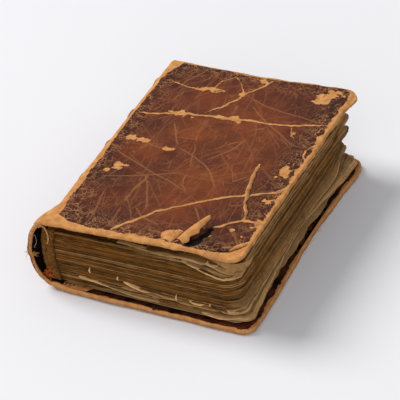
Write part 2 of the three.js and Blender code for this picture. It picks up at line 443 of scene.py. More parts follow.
def spine_material():
    """Cracked brown calf, tan where `wear` is over 0, and painted nearly black by `tone_and_shade` as shade inside the
    hollow back.
    """
    n = Nodes("spine_leather")
    grit = n.noise(1.0, 5, 0.65)
    base = n.mix(n.ramp(n.noise(11, 4), 0.3, 0.7), srgb(92, 50, 30), srgb(140, 86, 50))
    cracks = n.ramp(n.cells(3.2, n.stretched((1, 0.6, 1))), 0.0, 0.07, 1.0, 0.0)
    base = n.mix(n.times(cracks, n.ramp(n.noise(7, 3), 0.4, 0.6, 0.1, 0.8)), base, TAN)
    bare = n.ramp(n.stirred(n.field("wear"), (n.noise(4, 5), 1.6)), -0.08, 0.2)
    colour = n.mix(bare, base, n.mix(n.ramp(grit, 0.3, 0.7), TAN_DEEP, TAN))
    colour = n.mix(n.times(n.ramp(grit, 0.5, 0.8), 0.3), colour, srgb(58, 30, 18))
    # Painted shade: the inner face of the hollow back, near black.
    colour = n.mix(n.field("tone_and_shade"), colour, srgb(8, 4, 2))
    normal = n.bump(n.math("ADD", grit, n.times(cracks, -0.7)), 0.7, 0.4)
    return n.finish(colour, n.ramp(bare, 0, 1, 0.5, 0.9), normal, 0.15)


def paper_material(name, base, dark, pale):
    """Browned paper: streaked along its edges, lighter by `pale` and darker by `tone_and_shade`, partly as painted
    shade.
    """
    n = Nodes(name)
    streaks = n.noise(1.0, 4, 0.7, n.stretched((0.025, 0.025, 1.5)))
    thin = n.noise(0.5, 3, 0.6, n.stretched((0.05, 0.05, 2.2)))
    foxing = n.noise(9, 5, 0.6)
    grain = n.noise(0.7, 4, 0.6)
    colour = n.mix(n.ramp(streaks, 0.38, 0.62), dark, base)
    colour = n.mix(n.times(n.ramp(thin, 0.52, 0.72), 0.5), colour, srgb(176, 116, 46))
    colour = n.mix(n.times(n.field("pale"), n.ramp(n.noise(4, 4), 0.25, 0.6, 0.6, 1.0)), colour, pale)
    colour = n.mix(n.times(n.ramp(foxing, 0.55, 0.75), 0.4), colour, dark)
    # Darker by the tone field: partly darker leaves, partly painted shade.
    colour = n.mix(n.field("tone_and_shade"), colour, srgb(26, 13, 4))
    return n.finish(colour, n.ramp(grain, 0.3, 0.7, 0.85, 0.97), n.bump(grain, 0.4, 0.12), 0.03)


def fibre_material(name, light, deep, cell=0.6):
    """Threads, cords and worn paper: short strands of two colours."""
    n = Nodes(name)
    strands = n.noise(cell, 5, 0.7, n.stretched((1, 0.25, 1)))
    colour = n.mix(n.ramp(strands, 0.3, 0.7), deep, light)
    return n.finish(colour, n.ramp(strands, 0.2, 0.8, 0.8, 0.98), n.bump(strands, 0.7, 0.3), 0.06)


def board_material():
    """Layered card."""
    n = Nodes("board_card")
    layers = n.noise(1.2, 5, 0.6, n.stretched((0.2, 0.2, 3)))
    colour = n.mix(layers, srgb(110, 84, 54), srgb(160, 128, 88))
    return n.finish(colour, n.ramp(layers, 0, 1, 0.85, 0.97), n.bump(layers, 0.5, 0.2), 0.2)


LEATHER = leather_material()
TURN_IN = turn_in_material()
SPINE = spine_material()
PAPER = paper_material("page_paper", PAGE, PAGE_DARK, PAGE_PALE)
ENDPAPER = paper_material("endpaper", srgb(134, 98, 58), srgb(84, 56, 30), srgb(200, 166, 116))
LINING = fibre_material("spine_lining", srgb(126, 84, 38), srgb(58, 36, 14), 1.2)
TUFT = fibre_material("orange_fibre", srgb(214, 104, 42), srgb(128, 50, 16), 0.3)
GREY_THREAD = fibre_material("grey_thread", srgb(176, 166, 148), srgb(104, 96, 84), 0.4)
DRAPE = fibre_material("worn_corner_paper", srgb(160, 120, 76), srgb(118, 84, 50), 3.0)
CORD = fibre_material("sewing_cord", srgb(190, 150, 100), srgb(112, 78, 44))
ENDBAND = fibre_material("endband_thread", srgb(196, 104, 56), srgb(118, 52, 24), 0.4)
THREAD = fibre_material("loose_fibre", srgb(206, 150, 92), srgb(146, 92, 48), 0.5)
BOARD = board_material()


# ---------------------------------------------------------------- covers

# Cracks and rubbed patches of the front cover, in millimetres from its spine edge and its tail.
CRACKS = (
    # (width, lift on the left, drop on the right, points)
    (1.0, 0.25, 0.2, ((31.5, 1.9), (36.4, 10.5), (41.5, 16.9), (47.7, 24.9), (53.7, 30.2), (61.4, 36.2),
                      (69.7, 42.6), (78.8, 46.9), (87.0, 51.5), (92.3, 55.0), (95.6, 61.5))),
    (1.5, 0.45, 0.5, ((85.6, 28.4), (83.7, 34.5), (81.6, 40.5), (79.8, 47.2), (78.1, 53.6), (76.7, 59.8),
                     (76.0, 66.4), (75.8, 73.4))),
    (1.0, 0.25, 0.25, ((74.5, 19.3), (77.3, 20.8), (80.4, 23.7), (84.7, 28.4), (89.5, 27.9), (94.6, 27.8))),
    (0.9, 0.2, 0.2, ((4.9, 98.3), (11.2, 99.0), (19.1, 101.4), (28.4, 103.9), (34.8, 105.0), (46.8, 105.6),
                     (56.4, 107.1), (65.0, 107.2), (73.4, 107.8), (83.9, 111.3), (95.8, 114.4))),
    (0.7, 0.15, 0.15, ((33.9, 107.3), (40.0, 113.5), (44.4, 122.2), (46.2, 127.3), (49.7, 132.8),
                       (52.7, 138.7), (55.1, 144.5))),
    (0.6, 0.1, 0.1, ((46.2, 127.3), (44.6, 131.0), (41.5, 136.0), (36.5, 141.8), (31.3, 135.2), (30.2, 129.1))),
    (0.6, 0.1, 0.1, ((7.7, 130.2), (15.0, 127.5), (22.8, 125.9), (29.0, 127.9), (35.2, 129.9))),
    (0.6, 0.1, 0.1, ((96.0, 97.8), (93.3, 95.2), (91.2, 89.8), (92.0, 85.5), (95.8, 79.9))),
    (0.5, 0.1, 0.1, ((89.9, 104.2), (90.9, 109.4), (92.7, 112.8))),
    (0.5, 0.1, 0.1, ((77.5, 107.9), (80.2, 101.8), (82.1, 99.0))),
)
SCRATCHES = (
    ((33.1, 75.8), (39.4, 73.1), (46.1, 69.2), (52.1, 65.0), (57.0, 59.0), (66.1, 45.0)),
    ((4.4, 66.5), (15.5, 60.8), (24.4, 56.0), (33.2, 51.3), (41.4, 47.9), (54.1, 40.6)),
    ((4.6, 76.0), (12.0, 77.2), (17.2, 76.5), (22.0, 73.7), (29.7, 71.9), (33.0, 75.0)),
    ((51.7, 121.3), (57.6, 115.1), (65.1, 108.0), (76.6, 99.1), (83.1, 93.4), (96.0, 90.4)),
    ((47.6, 127.3), (58.4, 121.8), (69.0, 118.8), (81.9, 116.6), (93.0, 113.6)),
    ((13.3, 122.0), (16.3, 132.9), (20.2, 140.8), (21.8, 145.5)),
    ((35.0, 24.0), (41.5, 16.9), (52.0, 13.0)), ((20.0, 3.0), (19.0, 18.0), (16.0, 34.0)),
    ((60.0, 33.0), (66.0, 24.0), (72.5, 15.0)), ((28.0, 52.0), (36.0, 36.0), (41.0, 22.0)),
    ((80.0, 22.0), (86.0, 16.0), (91.0, 8.0)), ((9.0, 42.0), (24.0, 47.0), (47.0, 57.0)),
    ((24.0, 96.0), (30.0, 84.0), (34.0, 76.0)), ((62.0, 92.0), (58.0, 80.0), (50.0, 68.0)),
)
PATCHES = (
    # (x, y, reach along x, reach along y)
    (15.0, 53.8, 4.2, 3.6), (10.0, 49.0, 2.0, 2.0), (47.6, 105.9, 6.0, 2.4), (24.5, 103.2, 5.5, 2.2),
    (83.0, 134.0, 4.4, 5.4), (86.0, 139.5, 5.0, 3.6), (87.8, 71.5, 2.4, 5.6), (93.0, 74.0, 4.4, 1.8),
    (50.6, 142.6, 3.2, 2.0), (45.9, 127.2, 1.8, 2.6), (90.2, 105.0, 1.4, 1.4), (80.3, 102.0, 1.2, 2.6),
    (28.8, 127.5, 6.0, 1.6), (14.0, 76.8, 6.5, 1.8), (30.5, 72.6, 2.4, 1.6), (92.5, 28.0, 3.6, 3.4),
    (83.2, 20.2, 1.2, 1.5), (90.5, 46.0, 2.6, 1.6), (75.6, 12.2, 0.7, 0.9), (89.4, 16.0, 1.1, 1.6),
)
SLITS = (
    # (points, half width)
    (((79.4, 2.6), (82.6, 3.4), (84.1, 3.7), (88.2, 5.1), (90.6, 6.9), (92.6, 9.4), (94.4, 12.6)), 0.45),
    (((53.1, 2.6), (54.6, 4.2), (56.4, 4.7)), 0.35),
    (((58.0, 3.4), (60.8, 3.1), (62.5, 4.5), (64.1, 7.2)), 0.5),
)
HOLLOW = ((69.4, 4.6), (72.0, 8.0), (73.4, 12.4), (74.2, 17.4))
# The tan borders: where the leather begins, along the tail, head and spine edges.
TAIL_BORDER = ((0, 9.5), (4.5, 8.2), (7.5, 6.2), (10.7, 4.2), (14.7, 3.4), (21, 2.4), (39, 2.4), (44, 3.4), (50, 2.4),
               (56, 3.6), (66, 2.0), (71, 0.9), (80, 2.0), (86.6, 4.2), (89.7, 9.0), (93, 13.5), (96, 15))
HEAD_BORDER = ((0, 7), (9, 3.6), (18, 3.0), (51, 3.2), (68, 3.0), (88, 3.0), (96, 5))
SPINE_BORDER = ((0, 6), (8, 5), (20, 4.4), (56, 3.9), (81, 3.2), (105, 3.0), (130, 3.2), (138, 5.0), (148, 9))
BACK_BEND_FROM, BACK_BEND_RADIUS, BACK_LIP = 9.0, 30.0, 6.0
GRID = 0.48


def flare(y):
    """1 at the tail, where the spine's leather is rolled outwards, and 0 further up."""
    return smooth((19 - np.asarray(y, float)) / 15)


def cover_low(side, y):
    """Where a cover's leather ends towards the spine."""
    return -0.8 - 5.4 * flare(y) if side == "front" else np.full_like(y, -BACK_LIP)


def cover_plan(side, columns, rows):
    """Points (s, y) over a cover's outline: rounded corners, a worn and slightly hollow edge."""
    u, y = np.meshgrid(np.linspace(0, 1, columns), np.linspace(0, COVER_HEIGHT, rows))
    low = cover_low(side, y)
    s = low + (COVER_WIDTH - low) * u
    for right, up, radius in ((1, 1, COVER_CORNER), (1, -1, COVER_CORNER), (-1, 1, 4.5), (-1, -1, 2.2)):
        corner = (COVER_WIDTH if right == 1 else low, COVER_HEIGHT if up == 1 else 0)
        s, y = round_corner(s, y, corner, radius, right, up)
    seed = 11 if side == "front" else 23
    near_end = np.clip(np.abs(2 * y / COVER_HEIGHT - 1) ** 6, 0, 1)
    near_fore = np.clip((s / COVER_WIDTH) ** 8, 0, 1) * (s > 0)
    y = y + near_end * 0.45 * fbm(s, 0, 0, 9, seed)
    s = s + near_fore * 0.4 * fbm(0, y, 0, 10, seed + 5)
    if side == "front":
        y = y - head_hollow(s) * smooth((y - 110) / 38)
        s = s + 1.6 * near_fore * smooth((y - 126) / 14)
    else:
        s = s - near_fore * 2.3 * np.clip(1 - ((y - 85) / 50) ** 2, 0, 1)
    return s, y


def head_hollow(s):
    """How far the front cover's head edge is worn in."""
    return 2.2 * np.clip(1 - ((s - 47) / 40) ** 2, 0, 1)


def edge_distance(s, y, high):
    """How far a point lies inside the fore-edge, tail and head, with the corners rounded off."""
    a = high - s
    b = np.minimum(y, COVER_HEIGHT - y)
    r = COVER_CORNER
    corner = r - np.hypot(np.clip(r - a, 0, None), np.clip(r - b, 0, None))
    return np.where((a < r) & (b < r), corner, np.minimum(a, b))


def random_scratches():
    """Thin old scratches in a few directions, most of them towards the spine and the tail."""
    rng = np.random.default_rng(77)
    lines = []
    for _ in range(120):
        x, y = COVER_WIDTH * rng.random() ** 1.25, COVER_HEIGHT * rng.random() ** 1.1
        turn = math.radians(rng.choice((-52, -38, 30, 48, 66, 100, 8)) + rng.normal(0, 9))
        length, bend = rng.uniform(10, 46), rng.normal(0, 0.012)
        points = [(x, y)]
        for _ in range(5):
            x, y = x + length / 5 * math.cos(turn), y + length / 5 * math.sin(turn)
            points.append((x, y))
            turn += bend * length / 5 + rng.normal(0, 0.06)
        lines.append((points, rng.uniform(0.06, 0.34)))
    return lines


# A cover's marks are its wear, glow, crackle, scratch and groove from 0 to 1, which the leather reads
# (wear is from -2 to 1.5, tan over 0; groove is painted shade), and its relief in millimetres.

def rub(marks, wear):
    marks["wear"] = np.maximum(marks["wear"], wear)


# Painted shade: where the leather is painted near black, as the shadow in a crack, slit or hollow.
def paint_groove_shade(marks, groove_shade):
    marks["groove_shade"] = np.maximum(marks["groove_shade"], groove_shade)


def front_borders(s, y):
    """The wear of the front cover's tan borders."""
    wobble = fbm(s, y, 0, 6, 31)
    edge = fbm(s, y, 0, 2.5, 33)
    from_head = COVER_HEIGHT - head_hollow(s) - y
    borders = [
        np.interp(y, *zip(*SPINE_BORDER)) + 0.5 * wobble + 0.3 * edge - s,
        np.interp(s, *zip(*TAIL_BORDER)) + 0.35 * wobble + 0.3 * edge - y,
        np.interp(s, *zip(*HEAD_BORDER)) - 2.0 + 0.5 * wobble + 0.3 * edge - from_head,
        2.3 + 1.1 * wobble + 0.5 * edge - (COVER_WIDTH - s),
        1.6 + 0.6 * wobble - edge_distance(s, y, COVER_WIDTH),
    ]
    return np.clip(np.max(borders, 0) / 1.2, -2, 1.5)


def add_cracks(marks, s, y):
    """Long cracks: a rubbed line, with a lifted lip on its left and a drop on its right, painted dark as its shade."""
    wavy_s = s + 0.5 * fbm(s, y, 0, 3.5, 41)
    wavy_y = y + 0.5 * fbm(s, y, 0, 3.5, 42)
    uneven = 0.5 + 0.22 * fbm(s, y, 0, 4, 43)
    for width, lift, drop, points in CRACKS:
        d, share = line_distance(wavy_s, wavy_y, points)
        fade = smooth(share / 0.05) * smooth((1 - share) / 0.05)
        half = width * uneven * (0.45 + 0.55 * fade)
        rub(marks, np.clip((half - np.abs(d - 0.2 * lift)) / 0.45, -2, 1.2))
        # Painted shade in the crack's drop.
        paint_groove_shade(marks, fade * min(1.0, drop * 1.5) * np.exp(-((d + 0.85) / 0.4) ** 2))
        marks["relief"] += fade * lift * np.exp(-((d - 0.4) / 0.7) ** 2)
        marks["relief"] -= fade * drop * np.exp(-((d + 0.8) / 0.45) ** 2)


def add_patches(marks, s, y):
    """Rubbed patches with ragged outlines."""
    ragged = 0.75 * fbm(s, y, 0, 2.2, 51)
    for x, middle, reach_x, reach_y in PATCHES:
        r = np.hypot((s - x) / reach_x, (y - middle) / reach_y)
        rub(marks, np.clip(0.85 - r + ragged, -2, 1.2) * 1.2)


def add_scratches(marks, s, y):
    """Thin scratches: those seen one by one, and old random ones."""
    wavy = s + 0.3 * fbm(s, y, 0, 6, 61)
    for points, strength in [(p, 0.62) for p in SCRATCHES] + random_scratches():
        d, share = line_distance(wavy, y, points)
        ends = smooth(share / 0.15) * smooth((1 - share) / 0.15)
        line = strength * smooth((0.42 - np.abs(d)) / 0.34) * ends
        marks["scratch"] = np.maximum(marks["scratch"], line)


def add_slits(marks, s, y):
    """Narrow slits in the tan border by the tail, sunk and painted dark as shade."""
    wavy = y + 0.25 * fbm(s, 0, 0, 3, 65)
    broken = smooth(1.6 + 1.6 * fbm(s, 0, 0, 2.4, 67))
    for points, half in SLITS:
        d, share = line_distance(s, wavy, points)
        slit = np.exp(-(d / half) ** 2) * smooth(share / 0.08) * smooth((1 - share) / 0.08) * broken
        # Painted shade inside the slit.
        paint_groove_shade(marks, slit)
        marks["relief"] -= 0.6 * slit


def add_torn_place(marks, s, y):
    """The rumpled lump by the tail, and the hollow beside the torn flap, painted near black as the flap's shadow."""
    lump = np.clip(1 - np.hypot((s - 59.8) / 5.4, (y - 7.4) / 5.0), 0, 1)
    marks["relief"] += 2.6 * smooth(lump * 1.3) * (0.75 + 0.45 * fbm(s, y, 0, 2.6, 71))
    rub(marks, np.where(lump > 0, np.clip(4 * lump, 0, 1.2), -2))
    d, share = line_distance(s, y, HOLLOW)
    hollow = np.clip(1 - np.abs(d) / (3.1 - 1.5 * share) + 0.3 * fbm(s, y, 0, 2, 73), 0, 1)
    # Painted shadow of the flap over the hollow.
    paint_groove_shade(marks, smooth(hollow * 2.2))
    marks["relief"] -= 0.8 * smooth(hollow * 2)
    marks["wear"] = np.where(hollow > 0.1, -1.5, marks["wear"])


def front_marks(s, y):
    zero = np.zeros_like(s)
    near_edge = np.clip(1 - np.minimum(edge_distance(s, y, COVER_WIDTH), s) / 15, 0, 1)
    near_spine_corner = np.exp(-((s - 9) / 12) ** 2 - ((y - 10) / 16) ** 2)
    glow = np.exp(-((s - 52) / 30) ** 2 - ((y - 78) / 46) ** 2) * (0.75 + 0.4 * fbm(s, y, 0, 18, 81))
    marks = {
        "wear": front_borders(s, y),
        "glow": np.clip(glow, 0, 1),
        "crackle": np.clip(0.12 + 1.1 * near_edge + 0.9 * near_spine_corner, 0, 1),
        "scratch": zero,
        "groove_shade": zero,
        "relief": zero.copy(),
    }
    add_cracks(marks, s, y)
    add_patches(marks, s, y)
    add_scratches(marks, s, y)
    add_slits(marks, s, y)
    add_torn_place(marks, s, y)
    marks["relief"] -= 0.16 * smooth((marks["wear"] + 0.1) / 0.4)
    marks["relief"] += 0.12 * fbm(s, y, 0, 16, 91) + 0.05 * fbm(s, y, 0, 3, 92)
    return marks


BACK_PATCHES = ((30, 40, 5, 3), (70, 96, 6, 4), (22, 118, 3, 6), (80, 30, 4, 4), (52, 70, 3, 2))


def back_marks(s, y):
    near = np.minimum(edge_distance(s, y, COVER_WIDTH), s - 2)
    marks = {
        "wear": np.clip((3.0 + 1.2 * fbm(s, y, 0, 8, 131) - near) / 1.6, -2, 1.5),
        "glow": 0.7 * np.exp(-((s - 50) / 32) ** 2 - ((y - 74) / 50) ** 2),
        "crackle": np.clip(0.2 + 1 - near / 20, 0, 1),
        "scratch": np.zeros_like(s),
        "groove_shade": np.zeros_like(s),
    }
    ragged = 0.6 * fbm(s, y, 0, 3, 151)
    for x, middle, reach_x, reach_y in BACK_PATCHES:
        r = np.hypot((s - x) / reach_x, (y - middle) / reach_y)
        rub(marks, np.clip(1 - r + ragged, -2, 1.2))
    marks["relief"] = -0.1 * smooth((marks["wear"] + 0.1) / 0.4)
    return marks


def bent(side, s, y, h):
    """From along-the-leather (s, y) and height h over the outer face to the cover's own x, y, z."""
    if side == "front":
        start, radius = 3.1 - 2.1 * flare(y), 3.0 + 4.5 * flare(y)
    else:
        start, radius = BACK_BEND_FROM, BACK_BEND_RADIUS
    angle = np.clip((start - s) / radius, 0, None)
    x = np.where(s > start, s, start - (radius + h) * np.sin(angle))
    z = np.where(s > start, h, -radius + (radius + h) * np.cos(angle))
    return x, y, z


def cover_place(side, s, y, h):
    """Book coordinates of a cover's point; h counts outwards from the outer face."""
    x, y, z = bent(side, s, y, h)
    if side == "back":
        return np.stack([x, y, -z], -1)
    c, t = math.cos(FRONT_TILT), math.sin(FRONT_TILT)
    return np.stack([FRONT_SHIFT + x * c - z * t, y + FRONT_RISE, SPINE_TOTAL + x * t + z * c], -1)


def cover_depth(side, s, y):
    """The cover's thickness: thin where it turns into the spine, and a little worn at the other edges."""
    worn = 0.75 * smooth(1 - edge_distance(s, y, COVER_WIDTH) / 8) * (side == "front")
    return 1.0 + (COVER_THICKNESS - worn - 1.0) * smooth((s - cover_low(side, y) - 1.0) / 6.0)


def corner_sag(side, s, y):
    """How far the front cover's near corner droops."""
    if side == "back":
        return 0.0 * s
    return -1.7 * smooth((s - 74) / 14) * smooth((9 - y) / 9) * smooth((98 - s) / 6)


def inner_outline(p, margin):
    """A loop of outline points, drawn in to a rectangle `margin` inside their box."""
    low, high = p.min(0) + margin, p.max(0) - margin
    return p + 0.97 * (np.clip(p, low, high) - p)


def outward_normals(loop):
    """The directions straight out of a closed outline."""
    along = np.roll(loop, -1, 0) - np.roll(loop, 1, 0)
    normal = np.stack([along[:, 1], -along[:, 0]], 1)
    normal /= np.linalg.norm(normal, axis=1)[:, None]
    return normal if ((loop - loop.mean(0)) * normal).sum() > 0 else -normal


# Round a cover's edge: (out from the outline, share of the thickness down, wear)
EDGE_PROFILE = ((0.18, 0.45, 0.9), (0.2, 0.66, 0.9), (0.1, 0.86, 0.7), (-0.35, 0.98, 0.2), (-1.5, 1.0, -0.9))
# Under the cover: (in from the outline, wear)
UNDERSIDE = ((3.2, -0.9), (8.0, -1.2), (17.0, -1.2))


def edge_rings(side, outline):
    """Loops of points round a cover's edge and under it, and the wear along each."""
    normal = outward_normals(outline)
    rough = 0.16 * fbm(outline[:, 0], outline[:, 1], 0, 2.2, 171)
    rings, wears = [], []
    for k, (out, share, wear) in enumerate(EDGE_PROFILE):
        s, y = (outline + normal * (out + rough * (k < 3))[:, None]).T
        at_s, at_y = (s, y) if out < 0 else outline.T
        down = corner_sag(side, at_s, at_y) - share * cover_depth(side, at_s, at_y)
        rings.append(cover_place(side, s, y, down))
        fore = 0.9 * np.abs(normal[:, 0]) * (out < 0)
        wears.append(wear + fore + 0.75 * fbm(outline[:, 0], outline[:, 1], k * 2.0, 5, 175))
    for margin, wear in UNDERSIDE:
        s, y = inner_outline(outline, margin).T
        rings.append(cover_place(side, s, y, corner_sag(side, s, y) - cover_depth(side, s, y)))
        wears.append(np.full(len(outline), wear))
    return rings, wears


def cover_piece(side):
    """The leather over its board: outer face, rounded worn edges and the dark turn-in inside."""
    columns, rows = int((COVER_WIDTH + 3) / GRID), int(COVER_HEIGHT / GRID)
    s, y = cover_plan(side, columns, rows)
    marks = (front_marks if side == "front" else back_marks)(s, y)
    inset = edge_distance(s, y, COVER_WIDTH)
    rounded = 1 - np.sqrt(np.clip(1 - np.clip(1 - inset / 1.6, 0, 1) ** 2, 0, 1))
    rounded = rounded * cover_depth(side, s, y) / COVER_THICKNESS
    height = marks.pop("relief") * smooth(inset / 2.0) - rounded + corner_sag(side, s, y)
    top = cover_place(side, s, y, height)
    edge = rim(rows, columns)
    rings, wears = edge_rings(side, np.stack([s.ravel()[edge], y.ravel()[edge]], 1))
    count = rows * columns
    loops = [edge] + [count + k * len(edge) + np.arange(len(edge)) for k in range(len(rings))]
    faces = list(grid_faces(rows, columns))
    for a, b in zip(loops, loops[1:]):
        faces += list(ring_faces(a, b))
    faces.append(loops[-1])
    spare = np.zeros(len(rings) * len(edge))
    fields = {key: np.concatenate([v.ravel(), spare]) for key, v in marks.items()}
    fields["wear"][count:] = np.concatenate(wears)
    points = np.vstack([top.reshape(-1, 3)] + rings)
    piece = mesh_piece(f"{side}_leather_cover", points, faces, LEATHER, fields)
    piece.data.materials.append(TURN_IN)
    inner = np.zeros(len(piece.data.polygons), np.int32)
    inner[(rows - 1) * (columns - 1) + (len(EDGE_PROFILE) - 1) * len(edge):] = 1
    piece.data.polygons.foreach_set("material_index", inner)
    return turned_outward(piece)


def turned_outward(piece):
    """Makes every face of a closed mesh look out."""
    work = bmesh.new()
    work.from_mesh(piece.data)
    bmesh.ops.recalc_face_normals(work, faces=work.faces)
    work.to_mesh(piece.data)
    work.free()
    return piece


def book(x, y, z):
    """A point in book millimetres as a place in the frame."""
    return tuple(float(v) for v in np.array([x, y, z]) * MM + ORIGIN)


front_cover = cover_piece("front")
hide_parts("front_cover_leather")
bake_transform(front_cover)

back_cover = cover_piece("back")
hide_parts("back_cover_leather")
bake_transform(back_cover)


# ---------------------------------------------------------------- leaves

def sheet_height(x, level):
    """The height of the leaf at a level from 0 (lowest) to 1 in the block."""
    cover_top = SPINE_TOTAL + (x - FRONT_SHIFT) * math.tan(FRONT_TILT)
    block_top = cover_top - BLOCK_FROM / math.cos(FRONT_TILT)
    return BLOCK_FROM + level * (block_top - BLOCK_FROM)


def fold_place(level):
    """Where along x a leaf at this level is folded: the block's back is rounded."""
    return 0.3 - 3.5 * level - 2.3 * (1 - (2 * level - 1) ** 2)


def leaf_plan(x0, x1, y0, y1, radius, columns, rows, crowd, head_radius=None):
    """Leaf points, denser near the fore-edge, tail and head, with rounded fore-edge corners."""
    u = np.linspace(0, 1, columns)
    v = np.linspace(-1, 1, rows)
    x = x0 + (x1 - x0) * (1 - (1 - u) ** crowd)
    y = (y0 + y1) / 2 + (y1 - y0) / 2 * np.sign(v) * (1 - (1 - np.abs(v)) ** crowd)
    x, y = np.meshgrid(x, y)
    x, y = round_corner(x, y, (x1, y1), head_radius or radius, 1, 1)
    return round_corner(x, y, (x1, y0), radius, 1, -1)


LEAF_COLUMNS, LEAF_ROWS, LEAF_THICK = 50, 40, 0.115
# Gaps between leaves at the tail: (level, size, middle of the gap along x, its reach)
GAPS = (
    (0.985, 1.3, 28, 36), (0.955, 0.8, 62, 22), (0.935, 0.5, 20, 16), (0.915, 0.7, 80, 14),
    (0.90, 0.5, 42, 22), (0.855, 0.6, 84, 10), (0.80, 0.35, 24, 18), (0.22, 0.35, 66, 22),
    (0.155, 0.5, 38, 22), (0.10, 0.45, 60, 24), (0.05, 0.5, 30, 26), (0.02, 0.35, 76, 12),
)
# How far the leaves' head corners stand out or are worn away: (level, millimetres)
HEAD_CORNERS = (
    (0, 1.5), (0.08, 0.8), (0.11, -4.2), (0.16, -4.6), (0.19, -2.6), (0.29, -2.2), (0.32, -5.0), (0.41, -3.6),
    (0.50, -1.0), (0.57, 1.0), (0.59, -2.2), (0.70, -1.6), (0.74, 0.6), (0.80, -1.4), (1.0, -1.0),
)
# The fore-edge of the lowest leaves: (y, x)
LOW_FORE_EDGE = ((3.5, 93.0), (10, 93.3), (30, 91.0), (52, 89.0), (84, 86.8), (105, 89.0), (123, 92.0), (144, 91.8))


def bump_shape(v, middle, reach):
    return np.exp(-((v - middle) / reach) ** 2)


def damage(level, x):
    """1 where the leaves are torn: near the top towards the fore-edge, and at the bottom."""
    top = bump_shape(level, 0.87, 0.085) * smooth((x - 34) / 30)
    bottom = bump_shape(level, 0.11, 0.10) * (0.45 + 0.55 * smooth((x - 8) / 16))
    return np.clip(np.maximum(top, bottom), 0, 1)


def leaf_sag(level, x, y):
    """How far a leaf sags below its level: the drooping near corner, and the gaps that open at the tail."""
    near_tail = np.exp(-(np.clip(y - SQUARE, 0, None) / 10) ** 1.5)
    corner = 3.2 * smooth((level - 0.5) / 0.34) - 1.4 * smooth((level - 0.86) / 0.14)
    total = corner * bump_shape(x, 82, 12) * near_tail
    for place, size, middle, reach in GAPS:
        below = np.exp(-np.clip(place - level, 0, None) / 0.07) if level < place else 0.0
        total = total + size * below * bump_shape(x, middle, reach) * near_tail
    return total


def worn_fore_edge(level, x, y, fore, seed):
    """A leaf's x: drawn in along the fore-edge of the lowest leaves, uneven towards the head."""
    near_fore = smooth((x - fore + 6) / 6)
    low_leaf = float(smooth((0.2 - level) / 0.18))
    hollow = np.interp(y, *zip(*LOW_FORE_EDGE)) - LEAF_WIDTH - 0.3
    uneven = np.interp(level, *zip(*HEAD_CORNERS)) * smooth((y - 118) / 26)
    nicks = 1.8 * np.clip(fbm(0, y, 0, 9, seed) - 0.8, 0, 1)
    x = x + smooth((x - fore + 34) / 34) * (low_leaf * hollow + uneven)
    return x + near_fore * (0.3 * fbm(0, y, level * 60, 5, 221) - nicks)


def leaf(level, rng):
    """One leaf as a closed thin sheet, with worn and torn edges, and how pale and dark it is, the dark partly painted
    shade.
    """
    across = level * SECTIONS
    fore = LEAF_WIDTH + 0.9 * noise(across * 1.9, 0, 0, 211) + rng.uniform(-0.45, 0.25)
    tail = SQUARE - 0.2 + 0.6 * noise(across * 2.3, 5, 0, 212) + rng.uniform(-0.3, 0.35)
    head = COVER_HEIGHT - SQUARE + 0.5 * noise(across * 2.4, 9, 0, 213) + rng.uniform(-0.3, 0.2)
    tail += 1.1 * float(smooth((0.12 - level) / 0.1))
    radius = 6.0 + 2.5 * math.sin(level * 3.1) + rng.uniform(-0.8, 0.8)
    head_radius = 2.0 + 1.5 * rng.random()
    x, y = leaf_plan(0.0, fore, tail, head, radius, LEAF_COLUMNS, LEAF_ROWS, 1.25, head_radius)
    seed = int(rng.integers(1, 9999))
    near_tail = smooth((tail + 5 - y) / 5)
    near_head = smooth((y - head + 5) / 5)
    rim_near = np.maximum(smooth((x - fore + 6) / 6), np.maximum(near_tail, near_head))
    torn = damage(level, x)
    x = worn_fore_edge(level, x, y, fore, seed)
    tear = torn * 2.3 * np.clip(fbm(x, 0, 0, 9, seed + 4) + 0.15, 0, 1.3)
    tear = tear + 1.6 * smooth((level - 0.93) / 0.04) * smooth((78 - x) / 16) * smooth((x - 2) / 6)
    nick = 2.0 * np.clip(fbm(x, 0, 0, 8, seed + 1) - 0.8, 0, 1)
    y = y + near_tail * (tear + nick + 0.15 * fbm(x, 0, 0, 2.5, seed + 2)) - near_head * nick
    out = fold_place(level) + x
    ripple = 0.2 * fbm(out, y, level * 3.0, 30, 231) * smooth(x / 25) * (0.4 + 0.6 * rim_near)
    flutter = torn * near_tail * 0.5 * fbm(out, y, 0, 14, seed + 3)
    calm = np.clip(min(level, 1 - level) * 14, 0, 1)
    sag = np.clip(level * 10, 0, 1) * leaf_sag(level, out, y)
    z = sheet_height(out, level) + calm * (ripple + flutter) - sag
    upper, lower = (np.stack([out, y, z + half], -1) for half in (LEAF_THICK / 2, -LEAF_THICK / 2))
    points, faces = slab(LEAF_ROWS, LEAF_COLUMNS, upper, lower)
    pale, tone_and_shade = leaf_shades(level, out, y, torn, rng)
    clean = smooth((np.minimum(np.minimum(fore - x, y - tail), head - y) - 2.5) / 7)
    pale, tone_and_shade = np.maximum(pale, 0.8 * clean), tone_and_shade * (1 - clean)
    return points, outward(points, faces), np.tile(pale.ravel(), 2), np.tile(tone_and_shade.ravel(), 2)


